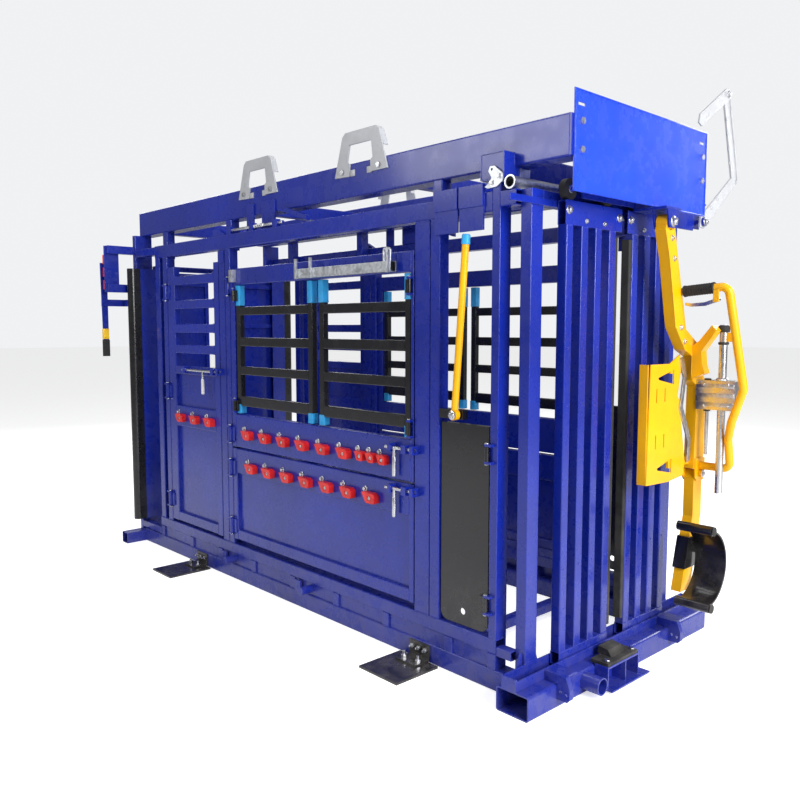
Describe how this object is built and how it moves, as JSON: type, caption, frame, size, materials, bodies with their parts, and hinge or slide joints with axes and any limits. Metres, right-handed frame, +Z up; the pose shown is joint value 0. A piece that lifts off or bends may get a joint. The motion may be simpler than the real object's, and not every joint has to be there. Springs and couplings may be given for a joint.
{
  "type": "cattle squeeze chute",
  "caption": "Blue steel cattle squeeze chute with side doors, barred windows, sliding head and tail gates, a top-hung yellow head restraint and lifting lugs on twin roof beams",
  "frame": {"origin": "centre of the bounding box on the ground plane, under the alley", "axes": "+X runs to the head end where the animal's head comes out, +Y to the far side, +Z up; the operator's side with the stop blocks and side lever is -Y"},
  "size_m": [3.9918, 1.95, 2.682],
  "materials": {
    "blue": "cobalt blue gloss paint, lightly orange-peeled",
    "blue_sign": "bright blue gloss paint",
    "black_paint": "black satin paint",
    "rubber": "matte black",
    "red": "moulded red",
    "yellow": "yellow gloss paint",
    "zinc": "bright zinc plate",
    "galvanised": "hot-dip galvanised",
    "pale_grey": "pale grey zinc-coated plate"
  },
  "bodies": {
    "frame": {"base_frame": "blue", "foot_plates": "black_paint", "foot_brackets": "black_paint", "frame_fasteners": "zinc", "side_frames": "blue", "top_beams": "blue", "head_frame": "blue", "bump_stop": "rubber", "lifting_lugs": "pale_grey", "sign_board": "blue_sign", "cross_pipe": "galvanised", "door_fixings": "blue", "lever_brackets": "blue", "restraint_bracket": "blue", "tail_bracket": "blue", "friction_pads": "red"},
    "near_tail_door": {"near_tail_door": "blue", "near_tail_blocks": "red"},
    "near_tail_bolt": {"near_tail_bolt": "zinc"},
    "near_window_door": {"near_window_door": "blue", "near_window_blocks": "red", "grille_catches": "galvanised"},
    "near_window_bolt": {"near_window_bolt": "zinc"},
    "near_grille_tail": {"near_grille_tail": "black_paint"},
    "near_grille_head": {"near_grille_head": "black_paint"},
    "near_lower_door": {"near_lower_door": "blue", "near_lower_blocks": "red"},
    "near_lower_bolt": {"near_lower_bolt": "zinc"},
    "near_shoulder_panel": {"near_shoulder_panel": "black_paint"},
    "side_lever": {"side_lever": "yellow"},
    "far_tail_door": {"far_tail_door": "blue"},
    "far_tail_bolt": {"far_tail_bolt": "zinc"},
    "far_window_door": {"far_window_door": "blue"},
    "far_window_bolt": {"far_window_bolt": "zinc"},
    "far_grille_tail": {"far_grille_tail": "black_paint"},
    "far_grille_head": {"far_grille_head": "black_paint"},
    "far_lower_door": {"far_lower_door": "blue"},
    "far_lower_bolt": {"far_lower_bolt": "zinc"},
    "far_shoulder_panel": {"far_shoulder_panel": "black_paint"},
    "head_gate_near": {"head_gate_near": "blue", "neck_rubber_near": "rubber"},
    "head_gate_far": {"head_gate_far": "blue", "neck_rubber_far": "rubber"},
    "gate_lever": {"gate_lever": "pale_grey"},
    "gate_link": {"gate_link": "pale_grey"},
    "restraint": {"restraint_arm": "yellow", "restraint_plate": "yellow", "restraint_bar": "galvanised", "restraint_handle": "yellow", "restraint_grip": "black_paint", "restraint_brackets": "yellow", "friction_lock": "zinc"},
    "nose_bar": {"nose_post": "yellow", "nose_scoop": "black_paint"},
    "squeeze_trigger": {"restraint_trigger": "zinc"},
    "tail_gate_near": {"tail_gate_near": "blue", "tail_link": "blue"},
    "tail_gate_far": {"tail_gate_far": "blue"},
    "tail_lever": {"tail_lever": "blue", "tail_grip": "black_paint"}
  },
  "joints": [
    {"name": "near_tail_door_hinge", "type": "hinge", "parent": "frame", "child": "near_tail_door", "pos_m": [-1.4169, -0.703, 1.09], "axis": [0, 0, 1], "range_deg": [-110, 0]},
    {"name": "near_window_door_hinge", "type": "hinge", "parent": "frame", "child": "near_window_door", "pos_m": [-0.6419, -0.703, 1.29], "axis": [0, 0, 1], "range_deg": [-110, 0]},
    {"name": "near_lower_door_hinge", "type": "hinge", "parent": "frame", "child": "near_lower_door", "pos_m": [-0.6419, -0.703, 0.505], "axis": [0, 0, 1], "range_deg": [-110, 0]},
    {"name": "near_grille_tail_hinge", "type": "hinge", "parent": "near_window_door", "child": "near_grille_tail", "pos_m": [-0.5849, -0.703, 1.368], "axis": [0, 0, -1], "range_deg": [0, 110]},
    {"name": "near_grille_head_hinge", "type": "hinge", "parent": "near_window_door", "child": "near_grille_head", "pos_m": [0.8896, -0.703, 1.368], "axis": [0, 0, 1], "range_deg": [0, 110]},
    {"name": "near_shoulder_panel_hinge", "type": "hinge", "parent": "frame", "child": "near_shoulder_panel", "pos_m": [1.3481, -0.703, 0.675], "axis": [0, 0, 1], "range_deg": [0, 100]},
    {"name": "near_tail_bolt_slide", "type": "slide", "parent": "near_tail_door", "child": "near_tail_bolt", "axis": [1, 0, 0], "range_m": [0, 0.05]},
    {"name": "near_window_bolt_slide", "type": "slide", "parent": "near_window_door", "child": "near_window_bolt", "axis": [1, 0, 0], "range_m": [0, 0.05]},
    {"name": "near_lower_bolt_slide", "type": "slide", "parent": "near_lower_door", "child": "near_lower_bolt", "axis": [1, 0, 0], "range_m": [0, 0.05]},
    {"name": "far_tail_door_hinge", "type": "hinge", "parent": "frame", "child": "far_tail_door", "pos_m": [-1.4169, 0.509, 1.09], "axis": [0, 0, -1], "range_deg": [-110, 0]},
    {"name": "far_window_door_hinge", "type": "hinge", "parent": "frame", "child": "far_window_door", "pos_m": [-0.6419, 0.509, 1.29], "axis": [0, 0, -1], "range_deg": [-110, 0]},
    {"name": "far_lower_door_hinge", "type": "hinge", "parent": "frame", "child": "far_lower_door", "pos_m": [-0.6419, 0.509, 0.505], "axis": [0, 0, -1], "range_deg": [-110, 0]},
    {"name": "far_grille_tail_hinge", "type": "hinge", "parent": "far_window_door", "child": "far_grille_tail", "pos_m": [-0.5849, 0.509, 1.368], "axis": [0, 0, 1], "range_deg": [0, 110]},
    {"name": "far_grille_head_hinge", "type": "hinge", "parent": "far_window_door", "child": "far_grille_head", "pos_m": [0.8896, 0.509, 1.368], "axis": [0, 0, -1], "range_deg": [0, 110]},
    {"name": "far_shoulder_panel_hinge", "type": "hinge", "parent": "frame", "child": "far_shoulder_panel", "pos_m": [1.3481, 0.509, 0.675], "axis": [0, 0, -1], "range_deg": [0, 100]},
    {"name": "far_tail_bolt_slide", "type": "slide", "parent": "far_tail_door", "child": "far_tail_bolt", "axis": [1, 0, 0], "range_m": [0, 0.05]},
    {"name": "far_window_bolt_slide", "type": "slide", "parent": "far_window_door", "child": "far_window_bolt", "axis": [1, 0, 0], "range_m": [0, 0.05]},
    {"name": "far_lower_bolt_slide", "type": "slide", "parent": "far_lower_door", "child": "far_lower_bolt", "axis": [1, 0, 0], "range_m": [0, 0.05]},
    {"name": "side_lever_pivot", "type": "hinge", "parent": "frame", "child": "side_lever", "pos_m": [1.1721, -0.708, 1.136], "axis": [0, 1, 0], "range_deg": [-10, 5]},
    {"name": "head_gate_near_slide", "type": "slide", "parent": "frame", "child": "head_gate_near", "axis": [0, -1, 0], "range_m": [-0.015, 0.25]},
    {"name": "head_gate_far_slide", "type": "slide", "parent": "frame", "child": "head_gate_far", "axis": [0, 1, 0], "range_m": [-0.015, 0.25]},
    {"name": "gate_lever_pivot", "type": "hinge", "parent": "frame", "child": "gate_lever", "pos_m": [1.5671, 0.623, 2.015], "axis": [1, 0, 0], "range_deg": [-31, 2]},
    {"name": "gate_link_pivot", "type": "hinge", "parent": "gate_lever", "child": "gate_link", "pos_m": [1.5671, 0.828, 2.655], "axis": [1, 0, 0], "range_deg": [-5, 0.5]},
    {"name": "restraint_pivot", "type": "hinge", "parent": "frame", "child": "restraint", "pos_m": [1.7091, 0.015, 1.946], "axis": [1, 0, 0], "range_deg": [-22, 10]},
    {"name": "nose_bar_pivot", "type": "hinge", "parent": "restraint", "child": "nose_bar", "pos_m": [1.7091, 0.333, 0.836], "axis": [1, 0, 0], "range_deg": [-25, 10]},
    {"name": "squeeze_trigger_pivot", "type": "hinge", "parent": "restraint", "child": "squeeze_trigger", "pos_m": [1.8881, 0.142, 1.621], "axis": [0, 1, 0], "range_deg": [0, 8], "stiffness_Nm_per_rad": 4},
    {"name": "tail_gate_near_slide", "type": "slide", "parent": "frame", "child": "tail_gate_near", "axis": [0, -1, 0], "range_m": [-0.03, 0.16]},
    {"name": "tail_gate_far_slide", "type": "slide", "parent": "frame", "child": "tail_gate_far", "axis": [0, 1, 0], "range_m": [-0.03, 0.16]},
    {"name": "tail_lever_pivot", "type": "hinge", "parent": "frame", "child": "tail_lever", "pos_m": [-1.9859, -0.872, 1.925], "axis": [1, 0, 0], "range_deg": [-36, 7]}
  ],
  "couplings": [
    {"joint": "head_gate_far_slide", "follows": "head_gate_near_slide", "ratio": 1},
    {"joint": "gate_lever_pivot", "follows": "head_gate_near_slide", "rad_per_m": -2.142},
    {"joint": "gate_link_pivot", "follows": "head_gate_near_slide", "rad_per_m": -0.325},
    {"joint": "tail_gate_far_slide", "follows": "tail_gate_near_slide", "ratio": 1},
    {"joint": "tail_lever_pivot", "follows": "tail_gate_near_slide", "rad_per_m": -3.846}
  ]
}
